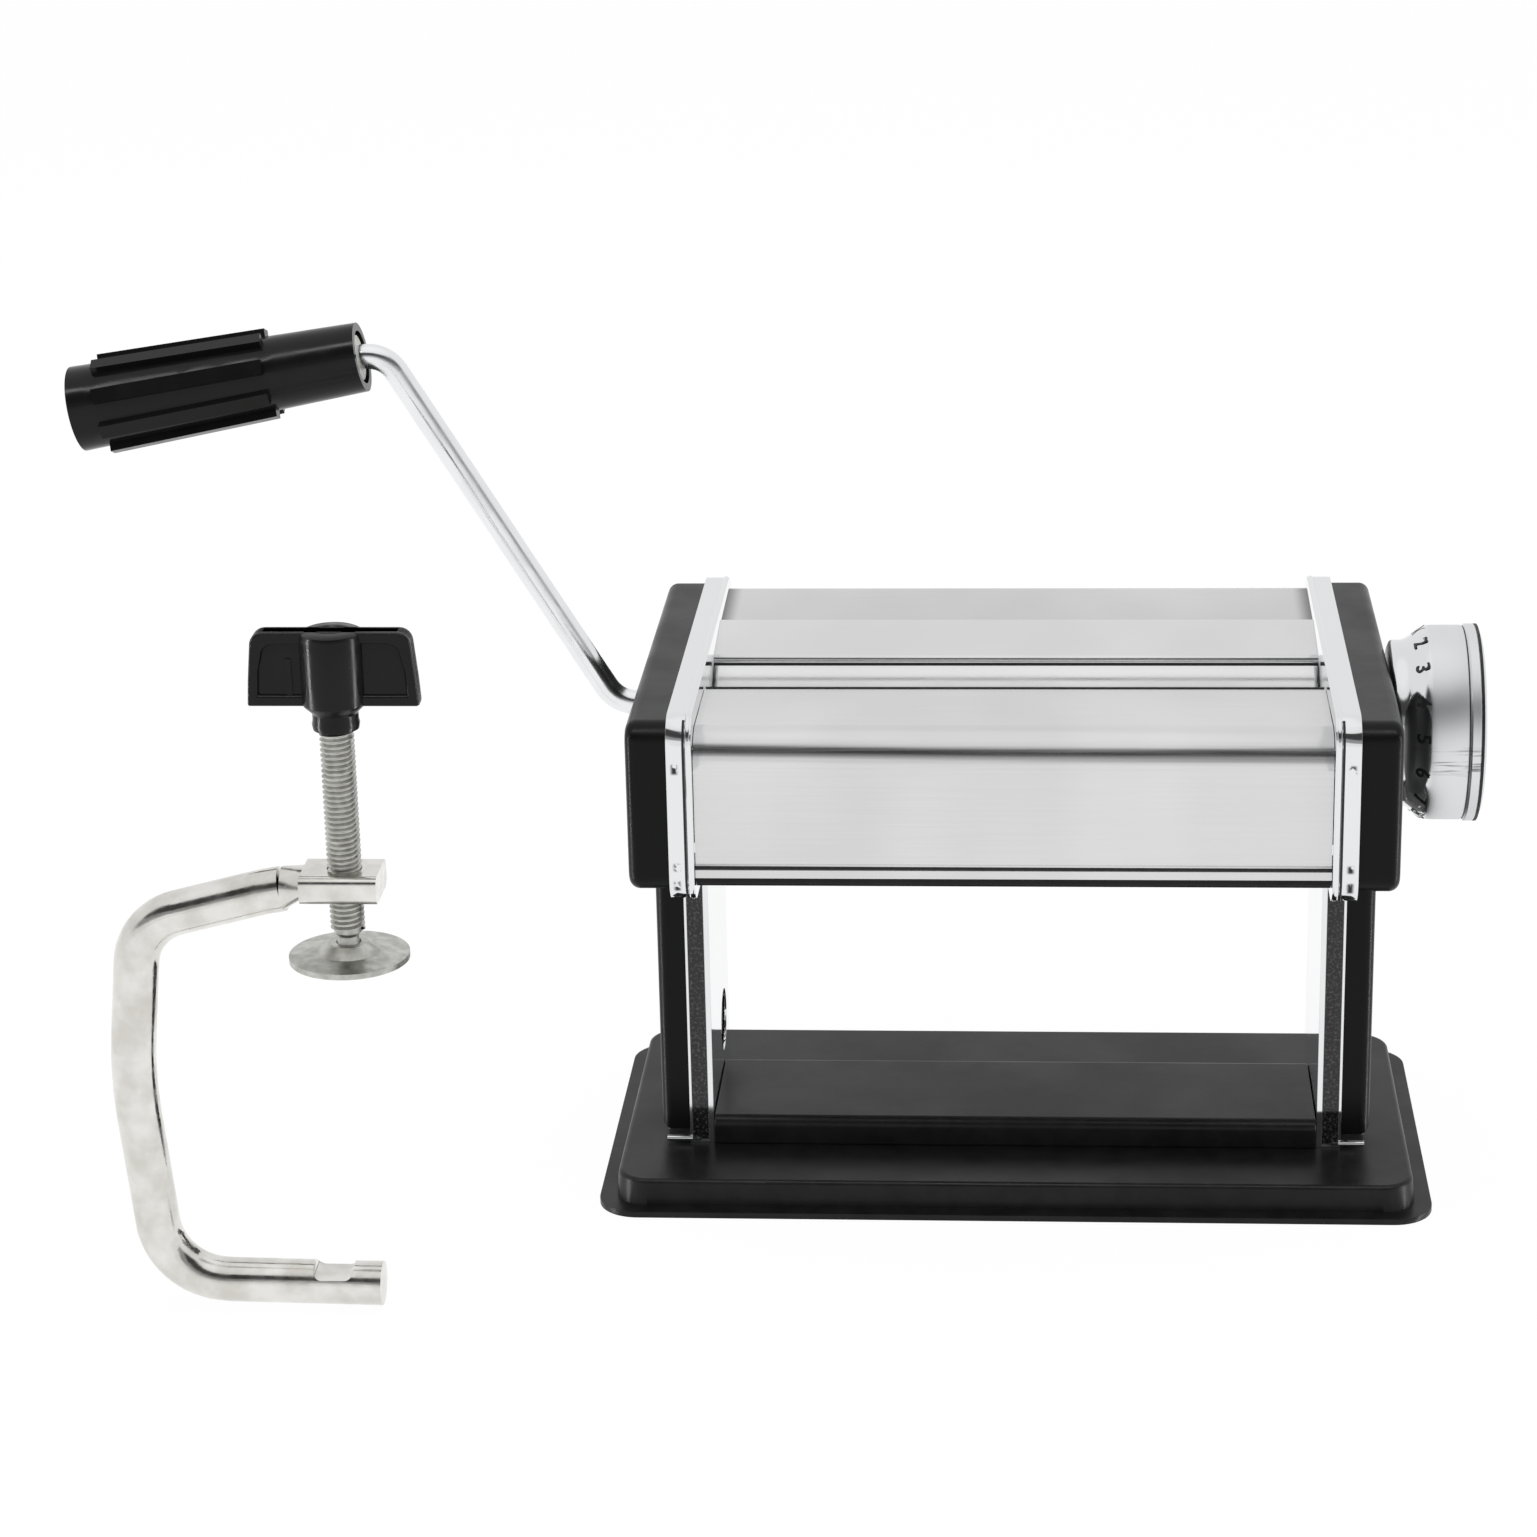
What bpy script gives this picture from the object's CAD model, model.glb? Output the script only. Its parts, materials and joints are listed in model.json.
# %% [markdown]
# A table-top pasta sheet roller with its crank, and the loose clamp that holds it to a table.
# The shapes that carry, turn and slide come from the CAD model as a fixed frame. This script
# gives each of them its finish, and adds what a mesh does better: the clamp's screw thread,
# its moulded wing knob, the dial's waist and figures, and the rolled edges of the sheets.

# %% Load the frame
import json
import math

import bmesh
import bpy
from mathutils import Matrix, Vector


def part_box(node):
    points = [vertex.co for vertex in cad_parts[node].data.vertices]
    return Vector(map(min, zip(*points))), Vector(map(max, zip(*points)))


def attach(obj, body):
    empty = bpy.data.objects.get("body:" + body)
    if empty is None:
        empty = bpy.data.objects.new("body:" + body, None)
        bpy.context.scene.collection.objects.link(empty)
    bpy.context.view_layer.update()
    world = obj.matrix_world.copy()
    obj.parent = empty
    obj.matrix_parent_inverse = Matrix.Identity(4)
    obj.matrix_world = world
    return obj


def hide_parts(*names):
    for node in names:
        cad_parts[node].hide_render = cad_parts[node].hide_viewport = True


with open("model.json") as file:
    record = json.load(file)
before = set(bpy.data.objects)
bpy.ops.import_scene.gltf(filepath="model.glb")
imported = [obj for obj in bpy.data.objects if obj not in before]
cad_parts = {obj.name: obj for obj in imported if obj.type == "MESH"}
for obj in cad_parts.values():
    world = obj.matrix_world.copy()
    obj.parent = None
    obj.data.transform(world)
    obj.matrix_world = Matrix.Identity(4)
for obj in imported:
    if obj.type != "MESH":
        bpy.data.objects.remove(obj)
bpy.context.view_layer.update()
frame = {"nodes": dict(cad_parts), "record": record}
nodes = frame["nodes"]

# %% [markdown]
# The camera looks down on the machine by about nineteen degrees, from a little to the right
# of its middle. The lens is long, so that far edges are nearly as wide as near ones. Its turn
# is written as the three directions that a camera has: right, up and back.

# %% Camera
camera_data = bpy.data.cameras.new("camera")
camera_data.sensor_width = 36.0
camera_data.lens = 94.28
camera = bpy.data.objects.new("camera", camera_data)
bpy.context.scene.collection.objects.link(camera)
camera_place = Vector((0.01002, -0.89642, 0.42568))
camera_right = Vector((0.99747956, 0.06773198, -0.02113998))
camera_up = Vector((-0.00211997, 0.3262539, 0.9452798))
camera_back = Vector((0.07092268, -0.94285246, 0.32557519))
turn = Matrix((camera_right, camera_up, camera_back)).transposed().to_4x4()
camera.matrix_world = Matrix.Translation(camera_place) @ turn
bpy.context.scene.camera = camera
bpy.context.scene.view_settings.view_transform = "Standard"
print("camera at", [round(v, 3) for v in camera.location])

# %% [markdown]
# Bright metal has hardly a colour of its own: it shows the room. So the room is drawn first.
# It is white behind the machine and whiter overhead, and dark behind the camera, from about
# ten degrees above the horizon to about fifty. That dark stripe draws the bends of the sheets,
# and its lower part is only grey, so that the flat tops don't turn black from behind.
# Seen straight on, and by matt surfaces, the room is plain. Places in the room are parts of a
# direction of length one, so that a height of 0.5 is thirty degrees above the horizon.

# %% Room
world = bpy.data.worlds.new("studio_room")
world.use_nodes = True
bpy.context.scene.world = world
room = world.node_tree
room.nodes.clear()
stripe_light = 0.06
stripe_foot_share = 0.62
wall_light = 1.12
ceiling_light = 1.25
matt_light = 0.62


def smooth_range(tree, source, low, high, to_low=0.0, to_high=1.0):
    """A soft step of source from low to high."""
    node = tree.nodes.new("ShaderNodeMapRange")
    node.interpolation_type = "SMOOTHSTEP"
    node.inputs["From Min"].default_value = low
    node.inputs["From Max"].default_value = high
    node.inputs["To Min"].default_value = to_low
    node.inputs["To Max"].default_value = to_high
    tree.links.new(source, node.inputs["Value"])
    return node.outputs["Result"]


def product(tree, a, b):
    node = tree.nodes.new("ShaderNodeMath")
    node.operation = "MULTIPLY"
    tree.links.new(a, node.inputs[0])
    tree.links.new(b, node.inputs[1])
    return node.outputs[0]


direction = room.nodes.new("ShaderNodeTexCoord")
parts = room.nodes.new("ShaderNodeSeparateXYZ")
room.links.new(direction.outputs["Generated"], parts.inputs[0])
height_in_room = parts.outputs["Z"]
towards_camera = smooth_range(room, parts.outputs["Y"], -0.15, -0.45)
below_lamp = smooth_range(room, height_in_room, 0.80, 0.70)
above_floor = smooth_range(room, height_in_room, 0.16, 0.26)
deepest = smooth_range(room, height_in_room, 0.38, 0.50, stripe_foot_share, 1.0)
dark_height = product(room, product(room, below_lamp, above_floor), deepest)
dark_side = product(room, towards_camera, dark_height)
pale_side = smooth_range(room, dark_side, 0.0, 1.0, 1.0, stripe_light)
ceiling = smooth_range(room, height_in_room, 0.80, 0.97, wall_light, ceiling_light)
seen_in_metal = product(room, pale_side, ceiling)
paths = room.nodes.new("ShaderNodeLightPath")
metal_light = room.nodes.new("ShaderNodeBackground")
room.links.new(seen_in_metal, metal_light.inputs["Strength"])
plain_light = room.nodes.new("ShaderNodeBackground")
plain_light.inputs["Strength"].default_value = matt_light
white_light = room.nodes.new("ShaderNodeBackground")
white_light.inputs["Color"].default_value = (1.0, 1.0, 1.0, 1.0)
pick_metal = room.nodes.new("ShaderNodeMixShader")
pick_camera = room.nodes.new("ShaderNodeMixShader")
room.links.new(paths.outputs["Is Glossy Ray"], pick_metal.inputs["Fac"])
room.links.new(plain_light.outputs[0], pick_metal.inputs[1])
room.links.new(metal_light.outputs[0], pick_metal.inputs[2])
room.links.new(paths.outputs["Is Camera Ray"], pick_camera.inputs["Fac"])
room.links.new(pick_metal.outputs[0], pick_camera.inputs[1])
room.links.new(white_light.outputs[0], pick_camera.inputs[2])
room_out = room.nodes.new("ShaderNodeOutputWorld")
room.links.new(pick_camera.outputs[0], room_out.inputs["Surface"])
print("room nodes:", len(room.nodes))

# %% [markdown]
# A wide soft box overhead lights the matt surfaces. Three narrow ones, one at each side and
# one above the front, draw the thin bright lines along the rounded edges of the black pieces.
# They light nothing else, because bright metal would show them as hard white rectangles, and
# the floor doesn't stop the side boxes, which reach below it: an upright edge that is seen
# from above mirrors what lies low.

# %% Lamps
black_pieces = bpy.data.collections.new("black_pieces")


def soft_box(name, place, aim, width, height, power, only_black=False, through_floor=False):
    """A lamp that looks from its place to its aim, in metres and watts."""
    lamp_data = bpy.data.lights.new(name, "AREA")
    lamp_data.shape = "RECTANGLE"
    lamp_data.size = width
    lamp_data.size_y = height
    lamp_data.energy = power
    lamp = bpy.data.objects.new(name, lamp_data)
    lamp.location = place
    lamp.rotation_euler = (Vector(aim) - Vector(place)).to_track_quat("-Z", "Y").to_euler()
    bpy.context.scene.collection.objects.link(lamp)
    lamp.visible_glossy = only_black
    if only_black:
        lamp.light_linking.receiver_collection = black_pieces
    if through_floor:
        lamp.light_linking.blocker_collection = black_pieces
        # A mirrored ray would still stop at the floor, so only rays to the lamp count.
        lamp_data.cycles.use_multiple_importance_sampling = False


middle = (0.0, 0.05, 0.0)
upper_middle = (0.0, 0.05, 0.1)
soft_box("overhead_box", (0.0, 0.15, 1.1), middle, width=1.6, height=1.1, power=6.0)
for name, place in (("left_box", (-1.1, -0.2, -0.1)), ("right_box", (1.1, -0.1, -0.1))):
    soft_box(name, place, upper_middle, 0.16, 1.2, 8.0, only_black=True, through_floor=True)
soft_box("front_strip", (0.0, -0.33, 0.95), middle, 1.4, 0.12, 4.0, only_black=True)

# %% [markdown]
# The floor is a plain pale sheet. Part of its light is its own, so that it looks white to the
# camera and in the metal, and the rest is paint that can still hold a soft shadow.

# %% Floor
glow_share = 0.92
glow_light = 1.04
reach = 6.0
floor_paint = bpy.data.materials.new("pale_floor")
floor_paint.use_nodes = True
tree = floor_paint.node_tree
tree.nodes.clear()
floor_out = tree.nodes.new("ShaderNodeOutputMaterial")
floor_matt = tree.nodes.new("ShaderNodeBsdfDiffuse")
floor_matt.inputs["Color"].default_value = (0.86, 0.86, 0.86, 1.0)
floor_glow = tree.nodes.new("ShaderNodeEmission")
floor_glow.inputs["Color"].default_value = (1.0, 1.0, 1.0, 1.0)
floor_glow.inputs["Strength"].default_value = glow_light
floor_mix = tree.nodes.new("ShaderNodeMixShader")
floor_rays = tree.nodes.new("ShaderNodeLightPath")
seen = tree.nodes.new("ShaderNodeMath")
seen.operation = "MAXIMUM"
tree.links.new(floor_rays.outputs["Is Camera Ray"], seen.inputs[0])
tree.links.new(floor_rays.outputs["Is Glossy Ray"], seen.inputs[1])
share = smooth_range(tree, seen.outputs[0], 0.0, 1.0, 0.0, glow_share)
tree.links.new(share, floor_mix.inputs["Fac"])
tree.links.new(floor_matt.outputs[0], floor_mix.inputs[1])
tree.links.new(floor_glow.outputs[0], floor_mix.inputs[2])
tree.links.new(floor_mix.outputs[0], floor_out.inputs["Surface"])

floor_mesh = bpy.data.meshes.new("floor")
floor_corners = [(-reach, -reach, 0), (reach, -reach, 0), (reach, reach, 0), (-reach, reach, 0)]
floor_mesh.from_pydata(floor_corners, [], [(0, 1, 2, 3)])
floor = bpy.data.objects.new("floor", floor_mesh)
floor.data.materials.append(floor_paint)
bpy.context.scene.collection.objects.link(floor)
print("floor reaches", reach, "m each way")

# %% [markdown]
# Each finish is a Principled shader with a few noise textures. The helpers below keep them
# short. One starts a finish, and one lays a noise over the part at a scale given per metre. A
# noise can vary the roughness, tint the colour, or be pressed into the surface. The last three
# pick out a region: the place along an axis, a band between two places, and a band's colour.

# %% Helpers for finishes
def new_finish(name, colour, metallic, roughness, **sockets):
    finish = bpy.data.materials.new(name)
    finish.use_nodes = True
    shader = finish.node_tree.nodes["Principled BSDF"]
    shader.inputs["Base Color"].default_value = (*colour, 1.0)
    shader.inputs["Metallic"].default_value = metallic
    shader.inputs["Roughness"].default_value = roughness
    for socket, value in sockets.items():
        shader.inputs[socket].default_value = value
    return finish, shader


def noise_over(finish, scale, detail, stretch=(1.0, 1.0, 1.0)):
    """A noise in the part's own space, with scale counted per metre."""
    tree = finish.node_tree
    place = tree.nodes.new("ShaderNodeTexCoord")
    fit = tree.nodes.new("ShaderNodeMapping")
    fit.inputs["Scale"].default_value = stretch
    noise = tree.nodes.new("ShaderNodeTexNoise")
    noise.inputs["Scale"].default_value = scale
    noise.inputs["Detail"].default_value = detail
    tree.links.new(place.outputs["Object"], fit.inputs["Vector"])
    tree.links.new(fit.outputs["Vector"], noise.inputs["Vector"])
    return noise.outputs["Fac"]


def vary(finish, shader, socket, noise, low, high):
    """The noise's middle range sets a plain number between low and high."""
    result = smooth_range(finish.node_tree, noise, 0.3, 0.7, low, high)
    finish.node_tree.links.new(result, shader.inputs[socket])


def tint(finish, shader, noise, dark, light):
    """The noise mixes two close colours."""
    tree = finish.node_tree
    blend = tree.nodes.new("ShaderNodeMix")
    blend.data_type = "RGBA"
    blend.inputs[6].default_value = (*dark, 1.0)
    blend.inputs[7].default_value = (*light, 1.0)
    tree.links.new(smooth_range(tree, noise, 0.3, 0.7), blend.inputs[0])
    tree.links.new(blend.outputs[2], shader.inputs["Base Color"])


def press(finish, shader, noise, depth, strength):
    """The noise becomes a relief of that depth in metres. Reliefs add up."""
    tree = finish.node_tree
    bump = tree.nodes.new("ShaderNodeBump")
    bump.inputs["Distance"].default_value = depth
    bump.inputs["Strength"].default_value = strength
    tree.links.new(noise, bump.inputs["Height"])
    before = shader.inputs["Normal"].links
    if before:
        tree.links.new(before[0].from_socket, bump.inputs["Normal"])
    tree.links.new(bump.outputs["Normal"], shader.inputs["Normal"])


def place_of(tree, axis, both_sides=False):
    """The point's place along an axis in metres, or its distance from the middle."""
    where = tree.nodes.new("ShaderNodeTexCoord")
    split = tree.nodes.new("ShaderNodeSeparateXYZ")
    tree.links.new(where.outputs["Object"], split.inputs[0])
    if not both_sides:
        return split.outputs[axis]
    size = tree.nodes.new("ShaderNodeMath")
    size.operation = "ABSOLUTE"
    tree.links.new(split.outputs[axis], size.inputs[0])
    return size.outputs[0]


def between(tree, source, low, high, edge):
    """One between low and high, nothing outside, with soft edges."""
    rise = smooth_range(tree, source, low - edge, low + edge)
    fall = smooth_range(tree, source, high + edge, high - edge)
    return product(tree, rise, fall)


def shade(finish, shader, mask, colour):
    """Where the mask is one, the finish has this colour."""
    tree = finish.node_tree
    blend = tree.nodes.new("ShaderNodeMix")
    blend.data_type = "RGBA"
    socket = shader.inputs["Base Color"]
    blend.inputs[6].default_value = socket.default_value
    if socket.links:
        tree.links.new(socket.links[0].from_socket, blend.inputs[6])
    blend.inputs[7].default_value = (*colour, 1.0)
    tree.links.new(mask, blend.inputs[0])
    tree.links.new(blend.outputs[2], socket)


# %% [markdown]
# The end plates, the crank and the dial are steel with a bright plating. A pressing is never
# quite flat, so a broad weak wave bends its reflections, and handling leaves faint cloudy
# patches that are a little less sharp. Down the legs the middle of the narrow flange is dull
# and faintly speckled, with a clean bright line at each edge, and the head's flange has small
# dark marks near its two front corners.

# %% Bright plating
bright_plating, shader = new_finish("bright_plating", (0.80, 0.81, 0.82), 1.0, 0.08)
vary(bright_plating, shader, "Roughness", noise_over(bright_plating, 60.0, 4.0), 0.05, 0.12)
press(bright_plating, shader, noise_over(bright_plating, 22.0, 1.0), 0.0006, 0.35)
tree = bright_plating.node_tree
across_flange = place_of(tree, "X", both_sides=True)
up_the_leg = place_of(tree, "Z")
dull_from, dull_to = 0.0763, 0.0804
leg_foot, leg_top = 0.0086, 0.0815
flange_middle = between(tree, across_flange, dull_from, dull_to, 0.0001)
leg_height = between(tree, up_the_leg, leg_foot, leg_top, 0.0006)
dull_leg = product(tree, flange_middle, leg_height)
tree.links.new(smooth_range(tree, dull_leg, 0.0, 1.0, 1.0, 0.15), shader.inputs["Metallic"])
shade(bright_plating, shader, dull_leg, (0.012, 0.012, 0.012))
speckle = smooth_range(tree, noise_over(bright_plating, 1500.0, 6.0), 0.46, 0.74)
shade(bright_plating, shader, product(tree, dull_leg, speckle), (0.12, 0.12, 0.12))
mark_grain = smooth_range(tree, noise_over(bright_plating, 500.0, 3.0), 0.40, 0.48)
mark_strip = between(tree, across_flange, 0.0784, 0.0798, 0.0005)
mark_heights = ((0.0878, 0.0905), (0.0930, 0.0948), (0.1172, 0.1196))
for mark_low, mark_high in mark_heights:
    mark_height = between(tree, up_the_leg, mark_low, mark_high, 0.0004)
    marks = product(tree, product(tree, mark_strip, mark_height), mark_grain)
    shade(bright_plating, shader, marks, (0.04, 0.04, 0.04))

crank_plating, shader = new_finish("crank_plating", (0.86, 0.87, 0.88), 1.0, 0.2)
vary(crank_plating, shader, "Roughness", noise_over(crank_plating, 140.0, 4.0), 0.14, 0.28)
press(crank_plating, shader, noise_over(crank_plating, 90.0, 2.0), 0.0003, 0.4)

# %% [markdown]
# The dial was turned and then plated, so its polish still runs round it in fine rings: a
# relief in which only the place along X counts. Its waist is still a mirror, in which the
# black cover shows as a dark lens. Fingers have dulled its drum, and left streaks along X.

# %% Dial plating
dial_plating, shader = new_finish("dial_plating", (0.78, 0.79, 0.80), 1.0, 0.12)
tree = dial_plating.node_tree
along_dial = place_of(tree, "X")
waist_end, drum_start = 0.0993, 0.1013
duller = smooth_range(tree, along_dial, waist_end, drum_start, 0.10, 0.42)
tree.links.new(duller, shader.inputs["Roughness"])
streak_noise = noise_over(dial_plating, 900.0, 4.0, (0.06, 1.0, 1.0))
streak_length = between(tree, along_dial, 0.1010, 0.1125, 0.0015)
streak_height = between(tree, place_of(tree, "Z"), 0.1060, 0.1115, 0.002)
streak_zone = product(tree, streak_length, streak_height)
streaks = product(tree, streak_zone, smooth_range(tree, streak_noise, 0.50, 0.62))
shade(dial_plating, shader, streaks, (0.12, 0.12, 0.12))
press(dial_plating, shader, noise_over(dial_plating, 1600.0, 2.0, (1.0, 0.02, 0.02)), 0.00002, 0.5)
press(dial_plating, shader, noise_over(dial_plating, 45.0, 1.0), 0.0006, 0.35)

spun_face, shader = new_finish("spun_face", (0.74, 0.75, 0.76), 1.0, 0.22)
vary(spun_face, shader, "Roughness", noise_over(spun_face, 500.0, 3.0), 0.18, 0.3)
print("plated finishes ready")

# %% [markdown]
# The covers over the rollers are stainless sheet with a fine brushed grain along the rollers.
# A noise squeezed along X makes the grain, in the roughness and as a very shallow relief, and
# a slow wave keeps the long flat faces from looking like mirrors. The rear cover is darker at
# its two ends, and where the guide's edge shades it.

# %% Brushed sheet
def brushed(name, grey):
    """One sheet's finish. Its grey wanders a little in broad soft clouds."""
    finish, shader = new_finish(name, (grey, grey, grey), 1.0, 0.22)
    grain = noise_over(finish, 2600.0, 3.0, (0.012, 1.0, 1.0))
    vary(finish, shader, "Roughness", grain, 0.17, 0.27)
    press(finish, shader, grain, 0.000008, 0.5)
    press(finish, shader, noise_over(finish, 9.0, 1.0), 0.0008, 0.3)
    clouds = noise_over(finish, 16.0, 2.0, (1.0, 0.6, 0.6))
    tint(finish, shader, clouds, [grey - 0.07] * 3, [grey + 0.04] * 3)
    return finish, shader


brushed_sheet = brushed("brushed_sheet", 0.71)[0]
guide_sheet = brushed("guide_sheet", 0.78)[0]
rear_sheet, shader = brushed("rear_sheet", 0.66)
tree = rear_sheet.node_tree
from_middle = place_of(tree, "X", both_sides=True)
sheet_end = smooth_range(tree, from_middle, 0.0705, 0.0752)
shade(rear_sheet, shader, sheet_end, (0.16, 0.16, 0.16))
guide_edge_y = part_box("top_guide")[1].y
under_edge = between(tree, place_of(tree, "Y"), guide_edge_y - 0.002, guide_edge_y + 0.0005, 0.0002)
shade(rear_sheet, shader, under_edge, (0.10, 0.10, 0.10))

# %% [markdown]
# The rollers are ground, and flour dust has dulled them in soft patches, so that they look
# pale and smooth in their slot. Their gears are plain steel with a film of oil.

# %% Ground rollers
ground_steel, shader = new_finish("ground_steel", (0.86, 0.86, 0.86), 0.9, 0.34)
vary(ground_steel, shader, "Roughness", noise_over(ground_steel, 60.0, 3.0), 0.30, 0.38)
dust = noise_over(ground_steel, 30.0, 3.0)
tint(ground_steel, shader, dust, (0.84, 0.84, 0.84), (0.90, 0.90, 0.90))

gear_steel, shader = new_finish("gear_steel", (0.42, 0.42, 0.43), 1.0, 0.35)
vary(gear_steel, shader, "Roughness", noise_over(gear_steel, 300.0, 3.0), 0.28, 0.45)
oil = noise_over(gear_steel, 80.0, 3.0)
tint(gear_steel, shader, oil, (0.34, 0.33, 0.32), (0.48, 0.48, 0.49))

# %% [markdown]
# Zinc plating on the clamp is warmer and cloudier than the bright plating, and shows crystals
# all over. The screw's zinc is duller, because it is worn by its nut and by hands.

# %% Zinc plating
zinc_plating, shader = new_finish("zinc_plating", (0.72, 0.71, 0.68), 1.0, 0.18)
zinc_clouds = noise_over(zinc_plating, 120.0, 4.0)
tint(zinc_plating, shader, zinc_clouds, (0.64, 0.62, 0.58), (0.80, 0.79, 0.76))
vary(zinc_plating, shader, "Roughness", noise_over(zinc_plating, 260.0, 5.0), 0.08, 0.24)
press(zinc_plating, shader, noise_over(zinc_plating, 700.0, 3.0), 0.00005, 0.4)

screw_zinc, shader = new_finish("screw_zinc", (0.55, 0.55, 0.52), 1.0, 0.34)
screw_clouds = noise_over(screw_zinc, 400.0, 4.0)
tint(screw_zinc, shader, screw_clouds, (0.46, 0.46, 0.43), (0.62, 0.62, 0.59))
vary(screw_zinc, shader, "Roughness", noise_over(screw_zinc, 500.0, 4.0), 0.28, 0.45)

# %% [markdown]
# The base is pressed steel under satin black paint. Paint that was baked on a pressing has a
# faint orange peel, a slightly uneven sheen, and catches dust.

# %% Satin black paint
low_gloss = {"Specular IOR Level": 0.2}
black_paint, shader = new_finish("satin_black_paint", (0.004,) * 3, 0.0, 0.34, **low_gloss)
tint(black_paint, shader, noise_over(black_paint, 220.0, 5.0), (0.006,) * 3, (0.010,) * 3)
vary(black_paint, shader, "Roughness", noise_over(black_paint, 35.0, 3.0), 0.30, 0.40)
press(black_paint, shader, noise_over(black_paint, 900.0, 2.0), 0.00004, 0.35)

# %% [markdown]
# The end covers are moulded in black plastic with a fine spark-eroded grain, the crank's grip
# is glossier, and the wing knob is shiny with the soft sink marks of a thick moulding. The
# scrapers and bushes are natural nylon, and the dial's figures are filled with matt ink.

# %% Plastics and ink
lowest_gloss = {"Specular IOR Level": 0.12}
cover_plastic, shader = new_finish("cover_plastic", (0.005,) * 3, 0.0, 0.30, **lowest_gloss)
press(cover_plastic, shader, noise_over(cover_plastic, 2600.0, 2.0), 0.00003, 0.45)
vary(cover_plastic, shader, "Roughness", noise_over(cover_plastic, 50.0, 3.0), 0.26, 0.36)

grip_plastic, shader = new_finish("grip_plastic", (0.006,) * 3, 0.0, 0.20, **low_gloss)
vary(grip_plastic, shader, "Roughness", noise_over(grip_plastic, 120.0, 4.0), 0.15, 0.26)
press(grip_plastic, shader, noise_over(grip_plastic, 500.0, 3.0), 0.00004, 0.35)

knob_plastic, shader = new_finish("knob_plastic", (0.008, 0.007, 0.008), 0.0, 0.20, **low_gloss)
vary(knob_plastic, shader, "Roughness", noise_over(knob_plastic, 160.0, 3.0), 0.15, 0.30)
press(knob_plastic, shader, noise_over(knob_plastic, 90.0, 2.0), 0.0004, 0.35)

nylon, shader = new_finish("natural_nylon", (0.80, 0.79, 0.74), 0.0, 0.40)
vary(nylon, shader, "Roughness", noise_over(nylon, 200.0, 3.0), 0.35, 0.5)

figure_ink, shader = new_finish("figure_ink", (0.012, 0.012, 0.012), 0.0, 0.5)
vary(figure_ink, shader, "Roughness", noise_over(figure_ink, 900.0, 3.0), 0.4, 0.6)
print("finishes:", len(bpy.data.materials))

# %% [markdown]
# Every CAD node now gets its finish. Most follow the record's material slots. The nodes that
# differ are the guide, the rear cover, the crank, the dial's turned parts, and the clamp's
# screw, pad and knob. The guide and the rear cover aren't mirrored in other pieces, because
# their dark undersides would blacken the roller in its slot.

# %% Paint the frame
slot_finish = {
    "black_paint": black_paint,
    "bright_steel": bright_plating,
    "brushed_sheet": brushed_sheet,
    "roller_steel": ground_steel,
    "black_plastic": cover_plastic,
    "grip_plastic": grip_plastic,
    "nylon": nylon,
    "zinc": zinc_plating,
    "gear_steel": gear_steel,
    "dial_plate": spun_face,
}
node_finish = {
    "top_guide": guide_sheet,
    "rear_cover": rear_sheet,
    "crank_rod": crank_plating,
    "dial_knob": dial_plating,
    "dial_ring": dial_plating,
    "clamp_screw": screw_zinc,
    "clamp_pad": screw_zinc,
    "clamp_knob": knob_plastic,
}
black_finishes = (black_paint, cover_plastic, grip_plastic, knob_plastic)
for entry in frame["record"]["subparts"]:
    node = nodes[entry["node"]]
    finish = node_finish.get(entry["node"], slot_finish[entry["material_slot"]])
    node.data.materials.clear()
    node.data.materials.append(finish)
    if finish in black_finishes:
        black_pieces.objects.link(node)
for name in ("top_guide", "rear_cover"):
    nodes[name].visible_glossy = False

# %% [markdown]
# No pressed or moulded edge is razor sharp, and the thin bright line on an edge is what makes
# it look real. A weld and then a small bevel by angle rounds the hard edges of the nodes that
# are seen closely. The widths are in metres.

# %% Soften the hard edges
def round_edges(piece, width, segments, angle):
    """Bevels the edges that turn by more than the angle in degrees."""
    bevel = piece.modifiers.new("bevel", "BEVEL")
    bevel.width = width
    bevel.segments = segments
    bevel.limit_method = "ANGLE"
    bevel.angle_limit = math.radians(angle)
    bevel.harden_normals = True


for name, width in {
    "left_end_plate": 0.0004,
    "right_end_plate": 0.0004,
    "front_cover": 0.0002,
    "rear_cover": 0.0002,
    "top_guide": 0.0002,
    "cross_channel": 0.0004,
    "base_plate": 0.0004,
}.items():
    weld = nodes[name].modifiers.new("weld", "WELD")
    weld.merge_threshold = 0.00001
    round_edges(nodes[name], width, 2, 35.0)
print("softened edges")

# %% [markdown]
# The pieces that only this script has are meshes and curves of its own. One helper shows a
# mesh as a piece that rides on a CAD body, and one turns a profile about an axis.

# %% Helpers for new pieces
def show(name, mesh, finish, body, smooth_angle=30.0):
    """Links a mesh as a piece that rides on a body."""
    piece = bpy.data.objects.new(name, mesh)
    bpy.context.scene.collection.objects.link(piece)
    mesh.materials.append(finish)
    if finish in black_finishes:
        black_pieces.objects.link(piece)
    for polygon in mesh.polygons:
        polygon.use_smooth = True
    mesh.set_sharp_from_angle(angle=math.radians(smooth_angle))
    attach(piece, body)
    return piece


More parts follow.
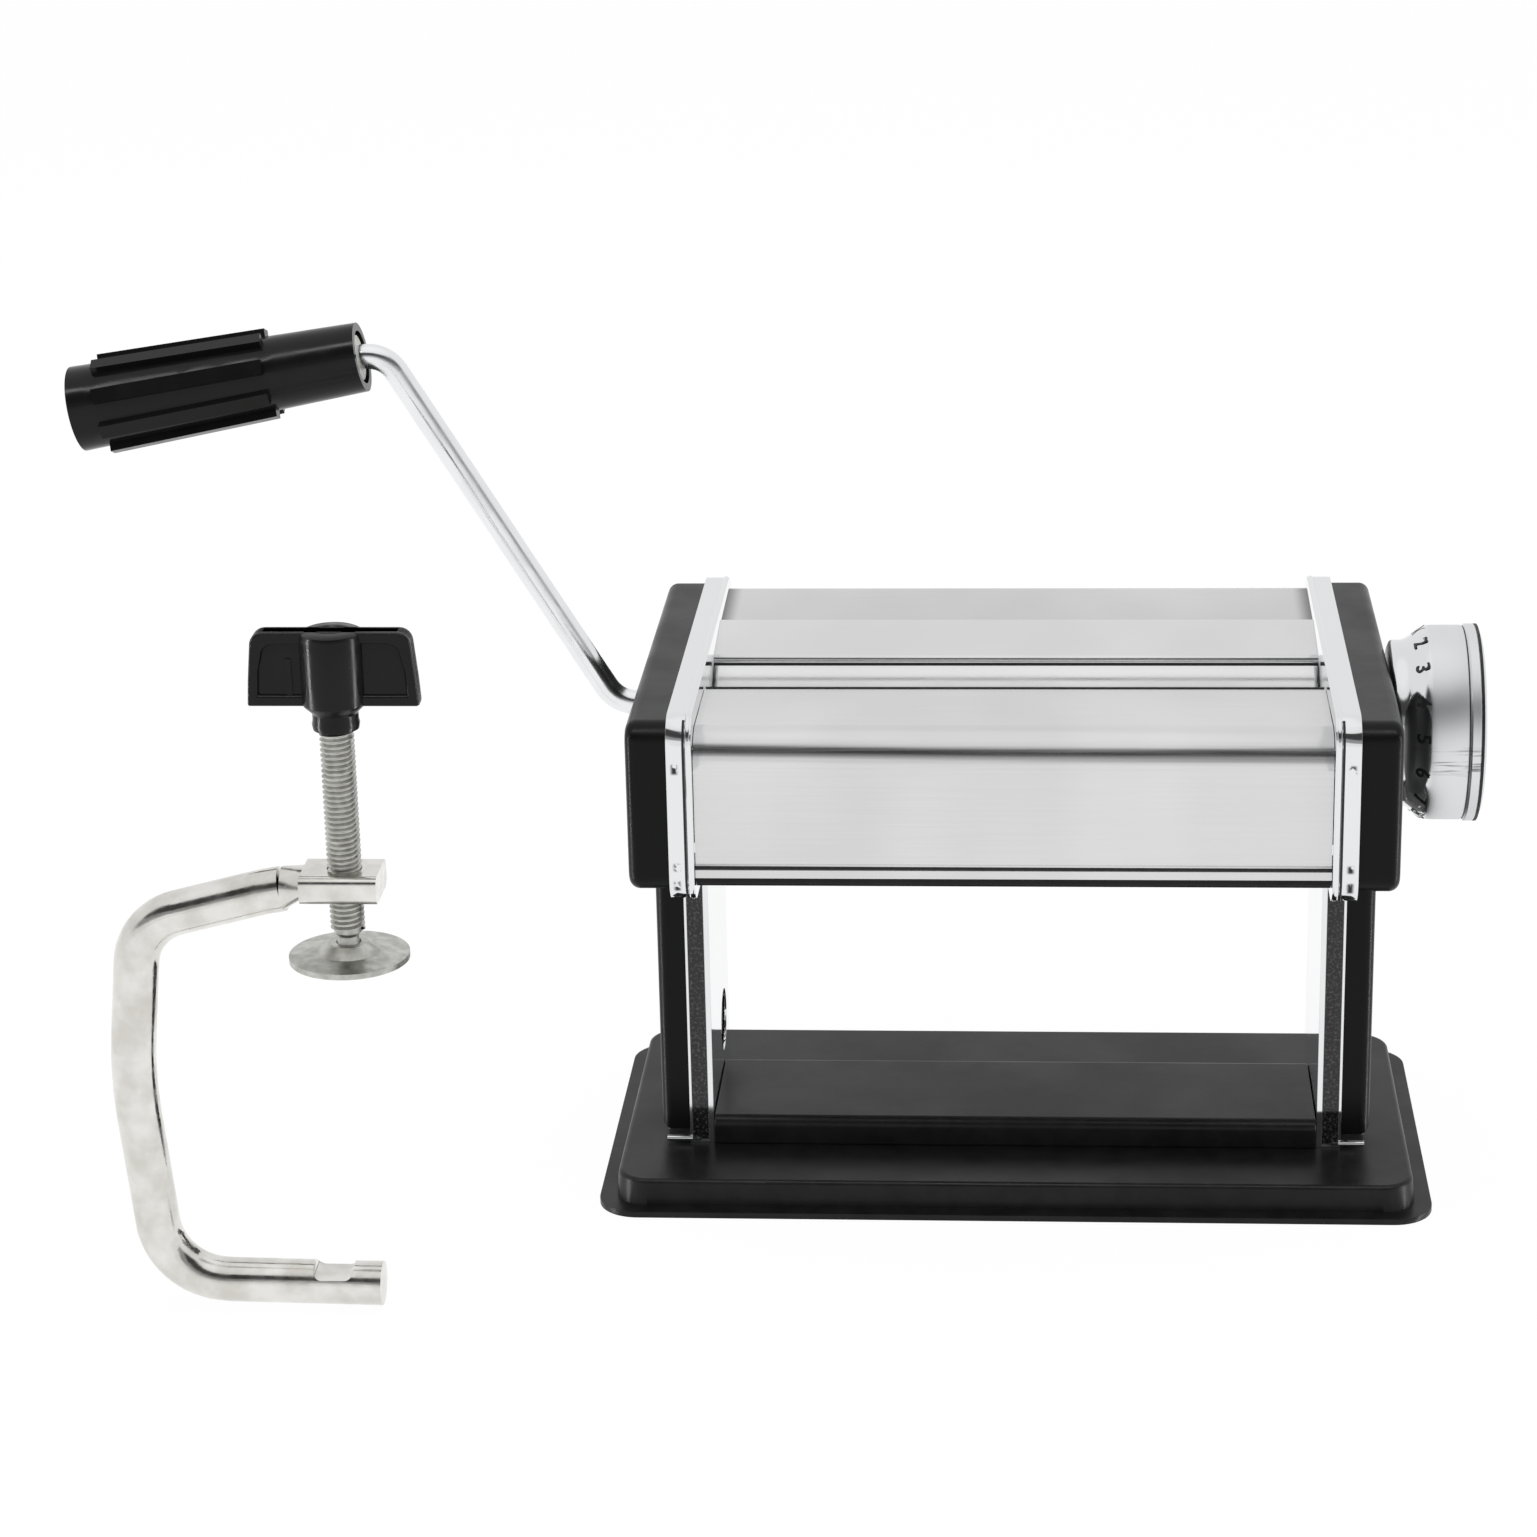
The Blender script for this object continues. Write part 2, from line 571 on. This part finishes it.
def lathe(name, profile, origin, axis, around):
    """Turns (along, radius) points about an axis, and closes both ends on it."""
    axis = Vector(axis).normalized()
    side = axis.orthogonal().normalized()
    other = axis.cross(side)
    least = 1e-6
    turned = bmesh.new()
    rings = []
    for along, radius in profile:
        ring = []
        for a in range(around):
            angle = 2 * math.pi * a / around
            out = side * math.cos(angle) + other * math.sin(angle)
            ring.append(turned.verts.new(Vector(origin) + axis * along + out * max(radius, least)))
        rings.append(ring)
    for low, high in zip(rings, rings[1:]):
        for a in range(around):
            b = (a + 1) % around
            turned.faces.new((low[a], low[b], high[b], high[a]))
    turned.faces.new(list(reversed(rings[0])))
    turned.faces.new(rings[-1])
    bmesh.ops.recalc_face_normals(turned, faces=turned.faces)
    mesh = bpy.data.meshes.new(name)
    turned.to_mesh(mesh)
    turned.free()
    return mesh


# %% [markdown]
# The inner edge of each end plate is rolled over into a narrow bead that follows the whole
# outline, from foot to foot, and is thinner down the legs. Down the head's front, a hairline
# of shadow lies beside the bead. The foot's edge, which shows below each cover, is rolled too.
# The first five sizes repeat the CAD plate's own.

# %% Rolled edges of the end plates
plate_low, plate_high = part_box("right_end_plate")
base_middle_y = 0.051
leg_half = 0.0256
head_bottom = 0.0841
head_corner = 0.007
inner_corner = 0.006
foot_gap = 0.0012
nearly = 0.0005
bead_radius = 0.0009
bead_inset = 0.0006
leg_bead_share = 0.45
hairline_radius = 0.00035
hairline_inset = 0.0001
foot_edge_height = 0.0092
foot_edge_span = (0.0785, 0.0868)
foot_edge_radius = 0.0007


def edge_outline(inset):
    """The plate's outline as (y, z) points, moved inwards, with its corners rounded."""
    front = plate_low.y + inset
    back = plate_high.y - inset
    top = plate_high.z - inset
    bottom = head_bottom + inset
    foot = plate_low.z + foot_gap
    leg_front = base_middle_y - leg_half + inset
    leg_back = base_middle_y + leg_half - inset
    outside = head_corner - inset
    inside = inner_corner + inset
    corners = [
        (leg_front, foot, 0.0), (leg_front, bottom, inside), (front, bottom, outside),
        (front, top, outside), (back, top, outside), (back, bottom, outside),
        (leg_back, bottom, inside), (leg_back, foot, 0.0),
    ]
    points = []
    steps = 6
    for k, (y, z, radius) in enumerate(corners):
        here = Vector((y, z))
        if radius == 0.0:
            points.append(here)
            continue
        into = (Vector(corners[k - 1][:2]) - here).normalized()
        away = (Vector(corners[k + 1][:2]) - here).normalized()
        centre = here + (into + away) * radius
        for step in range(steps + 1):
            angle = math.radians(90.0 / steps * step)
            points.append(centre - away * radius * math.cos(angle) - into * radius * math.sin(angle))
    return points


def round_line(name, points, radius, finish):
    """A round line through (x, y, z, thickness) points, which rides on the stand."""
    curve = bpy.data.curves.new(name, "CURVE")
    curve.dimensions = "3D"
    curve.bevel_depth = radius
    curve.bevel_resolution = 3
    line = curve.splines.new("POLY")
    line.points.add(len(points) - 1)
    for point, (x, y, z, thickness) in zip(line.points, points):
        point.co = (x, y, z, 1.0)
        point.radius = thickness
    curve.materials.append(finish)
    piece = bpy.data.objects.new(name, curve)
    bpy.context.scene.collection.objects.link(piece)
    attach(piece, "stand")


for word, sign in (("left", -1), ("right", 1)):
    bead = []
    for y, z in edge_outline(bead_inset):
        thickness = 1.0 if z > head_bottom - nearly else leg_bead_share
        bead.append((sign * (plate_low.x + bead_radius * thickness), y, z, thickness))
    round_line(f"{word}_edge_bead", bead, bead_radius, bright_plating)
    outer_x = sign * (plate_low.x + 2 * bead_radius + 0.0001)
    hairline = [
        (outer_x, y, z, 1.0) for y, z in edge_outline(hairline_inset)
        if y < base_middle_y - leg_half - inner_corner and z < plate_high.z - nearly
    ]
    round_line(f"{word}_edge_hairline", hairline, hairline_radius, figure_ink)
    foot_front = base_middle_y - leg_half - 0.0001
    glint = [(sign * x, foot_front, foot_edge_height, 1.0) for x in foot_edge_span]
    round_line(f"{word}_foot_edge", glint, foot_edge_radius, bright_plating)
print("edge outline points:", len(edge_outline(0.0)))

# %% [markdown]
# The front cover's lower edge is folded into a flat hem, and the fold leaves a dark line. The
# cut edges of the sheets on both sides of the feed slot show as dark lines too.

# %% Hem and slot edges
cover_low, cover_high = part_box("front_cover")
hem_face = cover_low.y
hem_half = cover_high.x
hem_bottom = 0.0907
hem_top = 0.0927
hem_proud = 0.0003
hem_sunk = 0.0006
fold_height = 0.09315
slot_half = 0.0747


def slab_between(name, low, high, finish, body):
    """A plain block between two corners."""
    block = bmesh.new()
    bmesh.ops.create_cube(block, size=1.0)
    for vert in block.verts:
        for axis in range(3):
            vert.co[axis] = (low[axis] + high[axis]) / 2 + vert.co[axis] * (high[axis] - low[axis])
    mesh = bpy.data.meshes.new(name)
    block.to_mesh(mesh)
    block.free()
    piece = show(name, mesh, finish, body)


hem_low = (-hem_half, hem_face - hem_proud, hem_bottom)
hem_high = (hem_half, hem_face + hem_sunk, hem_top)
slab_between("front_hem", hem_low, hem_high, brushed_sheet, "stand")
fold = [(-hem_half, hem_face, fold_height, 1.0), (hem_half, hem_face, fold_height, 1.0)]
round_line("front_hem_fold", fold, 0.0004, figure_ink)
guide_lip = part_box("top_guide")[0]
for name, y, z, radius in (
    ("slot_back_shadow", guide_lip.y + 0.0003, guide_lip.z - 0.0001, 0.0005),
    ("slot_front_shadow", cover_high.y + 0.0002, cover_high.z - 0.0002, 0.00028),
):
    edge = [(-slot_half, y, z, 1.0), (slot_half, y, z, 1.0)]
    round_line(name, edge, radius, figure_ink)
print("hem from", hem_face, "guide's lip at", guide_lip.y, guide_lip.z)

# %% [markdown]
# The screw is an M8 with a pitch of 1.25 mm. One turn of the thread is a ring of points whose
# height rises by a pitch all round, so the whole thread is one sheet wound on itself. Rings
# of root, flank and crest follow each other up the screw.

# %% Thread the clamp's screw
screw_low, screw_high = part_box("clamp_screw")
screw_x = (screw_low.x + screw_high.x) / 2
screw_y = (screw_low.y + screw_high.y) / 2
thread_crest = (screw_high.x - screw_low.x) / 2
thread_depth = 0.00075
thread_root = thread_crest - thread_depth
thread_pitch = 0.00125
thread_bottom = screw_low.z + 0.0066
thread_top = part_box("clamp_knob")[0].z + 0.001


def threaded_rod(name):
    """Rings of (radius, share of a pitch), each a full spiral turn."""
    around = 28
    turns = int((thread_top - thread_bottom) / thread_pitch)
    profile = [(thread_root, 0.0), (thread_root, 0.2), (thread_crest, 0.48), (thread_crest, 0.62)]
    rod = bmesh.new()
    grid = []
    for k in range(turns * len(profile)):
        radius, share = profile[k % len(profile)]
        height = thread_bottom + (k // len(profile) + share) * thread_pitch
        ring = []
        for a in range(around + 1):
            angle = 2 * math.pi * a / around
            x = screw_x + radius * math.cos(angle)
            y = screw_y + radius * math.sin(angle)
            z = height + thread_pitch * a / around
            z = min(max(z, thread_bottom), thread_top)
            ring.append(rod.verts.new((x, y, z)))
        grid.append(ring)
    for low, high in zip(grid, grid[1:]):
        for a in range(around):
            rod.faces.new((low[a], low[a + 1], high[a + 1], high[a]))
    mesh = bpy.data.meshes.new(name)
    rod.to_mesh(mesh)
    rod.free()
    return mesh


thread = show("clamp_thread", threaded_rod("clamp_thread"), screw_zinc, "clamp_spindle")
print("thread turns:", round((thread_top - thread_bottom) / thread_pitch))

# %% [markdown]
# Below the thread the screw narrows to a neck with a ball, which the pad is spun over. It is a
# lathe profile from the ball's foot up to the first turn of the thread.

# %% Neck and ball of the screw
neck_profile = [
    (0.0, 0.0008), (0.0006, 0.0018), (0.0018, 0.0027), (0.0030, 0.0030), (0.0042, 0.0027),
    (0.0050, 0.0024), (0.0058, 0.0024), (0.0064, 0.0029), (0.0068, thread_root),
    (thread_top - screw_low.z, thread_root),
]
neck = show(
    "clamp_screw_neck",
    lathe("clamp_screw_neck", neck_profile, (screw_x, screw_y, screw_low.z), (0, 0, 1), 32),
    screw_zinc,
    "clamp_spindle",
)
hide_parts("clamp_screw")

# %% [markdown]
# The wing knob is a moulding: a waisted hub between two flat wings whose rims are thicker
# than their panels. The hub is turned on a lathe profile. Each wing is a slab with a bevelled
# outline, and a frame round it makes the rim. A short raised bar marks the left wing.

# %% Wing knob
knob_low, knob_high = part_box("clamp_knob")
knob_height = knob_high.z - knob_low.z
hub_radius = (knob_high.y - knob_low.y) / 2
wing_height = 0.0172
wing_corner = 0.003
wing_corner_in = 0.0042
hub_profile = [
    (0.0, 0.0046), (0.0003, 0.0052), (0.0016, 0.0054), (0.0024, 0.0052), (0.0040, 0.0052),
    (0.0046, 0.0056), (0.0058, hub_radius - 0.0004), (0.0064, hub_radius), (0.0075, hub_radius),
    (knob_height - 0.0012, hub_radius), (knob_height - 0.0004, hub_radius - 0.0004),
    (knob_height, hub_radius - 0.0013), (knob_height, 0.0032), (knob_height - 0.0004, 0.0028),
    (knob_height - 0.0004, 0.0),
]
hub = show(
    "wing_knob_hub",
    lathe("wing_knob_hub", hub_profile, (screw_x, screw_y, knob_low.z), (0, 0, 1), 64),
    knob_plastic,
    "clamp_spindle",
)


def wing_outline(inset):
    """Both wings' outline as (x, z) points, moved in by inset, with round upper corners."""
    half = (knob_high.x - knob_low.x) / 2 - inset
    bottom = knob_high.z - wing_height + inset
    top = knob_high.z - inset
    right = [(half, bottom), (half - 0.0004, bottom + 0.006)]
    steps = 6
    for k in range(steps + 1):
        angle = math.radians(90 * k / steps)
        x = half - wing_corner_in + wing_corner * math.cos(angle)
        z = top - wing_corner + wing_corner * math.sin(angle)
        right.append((x, z))
    return right + [(-x, z) for x, z in reversed(right)]


def wing_piece(name, half_thickness, rounding, frame_width=0.0):
    """A slab for both wings, or only a frame of that width along its outline."""
    outer = wing_outline(0.0)
    inner = wing_outline(frame_width)
    count = len(outer)
    solid = bmesh.new()

    def ring_at(outline, y):
        return [solid.verts.new((screw_x + x, screw_y + y, z)) for x, z in outline]

    front, back = ring_at(outer, -half_thickness), ring_at(outer, half_thickness)
    if frame_width:
        front_in, back_in = ring_at(inner, -half_thickness), ring_at(inner, half_thickness)
        loops = (front, front_in, back_in, back)
    else:
        solid.faces.new(front)
        solid.faces.new(list(reversed(back)))
        loops = (front, back)
    pairs = list(zip(loops, loops[1:])) + ([(back, front)] if frame_width else [])
    for one, two in pairs:
        for k in range(count):
            j = (k + 1) % count
            solid.faces.new((one[j], one[k], two[k], two[j]))
    bmesh.ops.recalc_face_normals(solid, faces=solid.faces)
    mesh = bpy.data.meshes.new(name)
    solid.to_mesh(mesh)
    solid.free()
    piece = show(name, mesh, knob_plastic, "clamp_spindle", 40.0)
    round_edges(piece, rounding, 3, 40.0)


wing_piece("wing_knob_wings", half_thickness=0.0017, rounding=0.0003)
wing_piece("wing_knob_rims", half_thickness=0.0026, rounding=0.0006, frame_width=0.0026)
bar_low = (screw_x - 0.0104, screw_y - 0.0020, knob_high.z - 0.0158)
bar_high = (screw_x - 0.0090, screw_y - 0.0016, knob_high.z - 0.0062)
slab_between("wing_knob_bar", bar_low, bar_high, knob_plastic, "clamp_spindle")
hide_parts("clamp_knob")
print("knob is", round(knob_height * 1000, 1), "mm high")

# %% [markdown]
# The dial was turned from one piece with a soft waist, so it is a lathe profile from its neck
# to the groove before its ring. A second dark line runs round the ring near its outer edge.

# %% Dial
dial_low, dial_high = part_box("dial_knob")
dial_y = (dial_low.y + dial_high.y) / 2
dial_z = (dial_low.z + dial_high.z) / 2
dial_radius = (dial_high.y - dial_low.y) / 2
neck_radius = dial_radius - 0.0036
core_radius = 0.019
waist = [
    (0.0, neck_radius - 0.0013), (0.0003, neck_radius - 0.0004), (0.0008, neck_radius),
    (0.0022, neck_radius), (0.0032, neck_radius + 0.0001), (0.0042, neck_radius + 0.0005),
    (0.0055, neck_radius + 0.0014), (0.0068, neck_radius + 0.0025), (0.0080, neck_radius + 0.0032),
    (0.0092, dial_radius - 0.0001), (0.0105, dial_radius), (0.0174, dial_radius),
    (0.0178, dial_radius - 0.0003), (0.0178, core_radius),
]
knob = show(
    "dial_waist",
    lathe("dial_waist", waist, (dial_low.x, dial_y, dial_z), (1, 0, 0), 96),
    dial_plating,
    "dial",
    50.0,
)
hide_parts("dial_knob")
ring_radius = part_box("dial_ring")[1].z - dial_z
for name, start, end, radius in (
    ("dial_groove", 0.0176, 0.0184, dial_radius - 0.0002),
    ("dial_ring_line", 0.0208, 0.0213, ring_radius + 0.00003),
):
    line = [(start, core_radius), (start, radius), (end, radius), (end, core_radius)]
    ring_mesh = lathe(name, line, (dial_low.x, dial_y, dial_z), (1, 0, 0), 96)
    dark_ring = show(name, ring_mesh, figure_ink, "dial")

# %% [markdown]
# The dial has nine settings, marked with plain figures that are stamped in its waist and
# filled with black. Each figure is a text object laid on the slope: its height runs along the
# slope, and it faces straight out, a hair above the metal so that it doesn't flicker.

# %% Figures on the dial
figure_along = 0.0068
figure_radius = neck_radius + 0.0025
figure_height = 0.0040
letter_size = figure_height * 1.35
hair = 0.00008
figure_step = math.radians(22.5)
first_figure = math.radians(-7.9)
slope = Vector((0.0025, 0, 0.0018)).normalized()


def dial_figure(number):
    words = bpy.data.curves.new(f"dial_figure_{number}", "FONT")
    words.body = str(number)
    words.size = letter_size
    words.align_x = "CENTER"
    words.align_y = "CENTER"
    words.extrude = 0.00003
    words.offset = hair
    words.materials.append(figure_ink)
    figure = bpy.data.objects.new(words.name, words)
    bpy.context.scene.collection.objects.link(figure)
    out = Vector((-slope.z, 0, slope.x))
    across = slope.cross(out)
    flat = Matrix((across, slope, out)).transposed().to_4x4()
    middle = Vector((dial_low.x + figure_along, 0, figure_radius))
    lift = Matrix.Translation(middle + out * hair)
    spin = Matrix.Rotation(first_figure + figure_step * (number - 1), 4, "X")
    figure.matrix_world = Matrix.Translation((0, dial_y, dial_z)) @ spin @ lift @ flat
    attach(figure, "dial")
    return figure


figures = [dial_figure(number) for number in range(1, 10)]
print("figures:", len(figures))
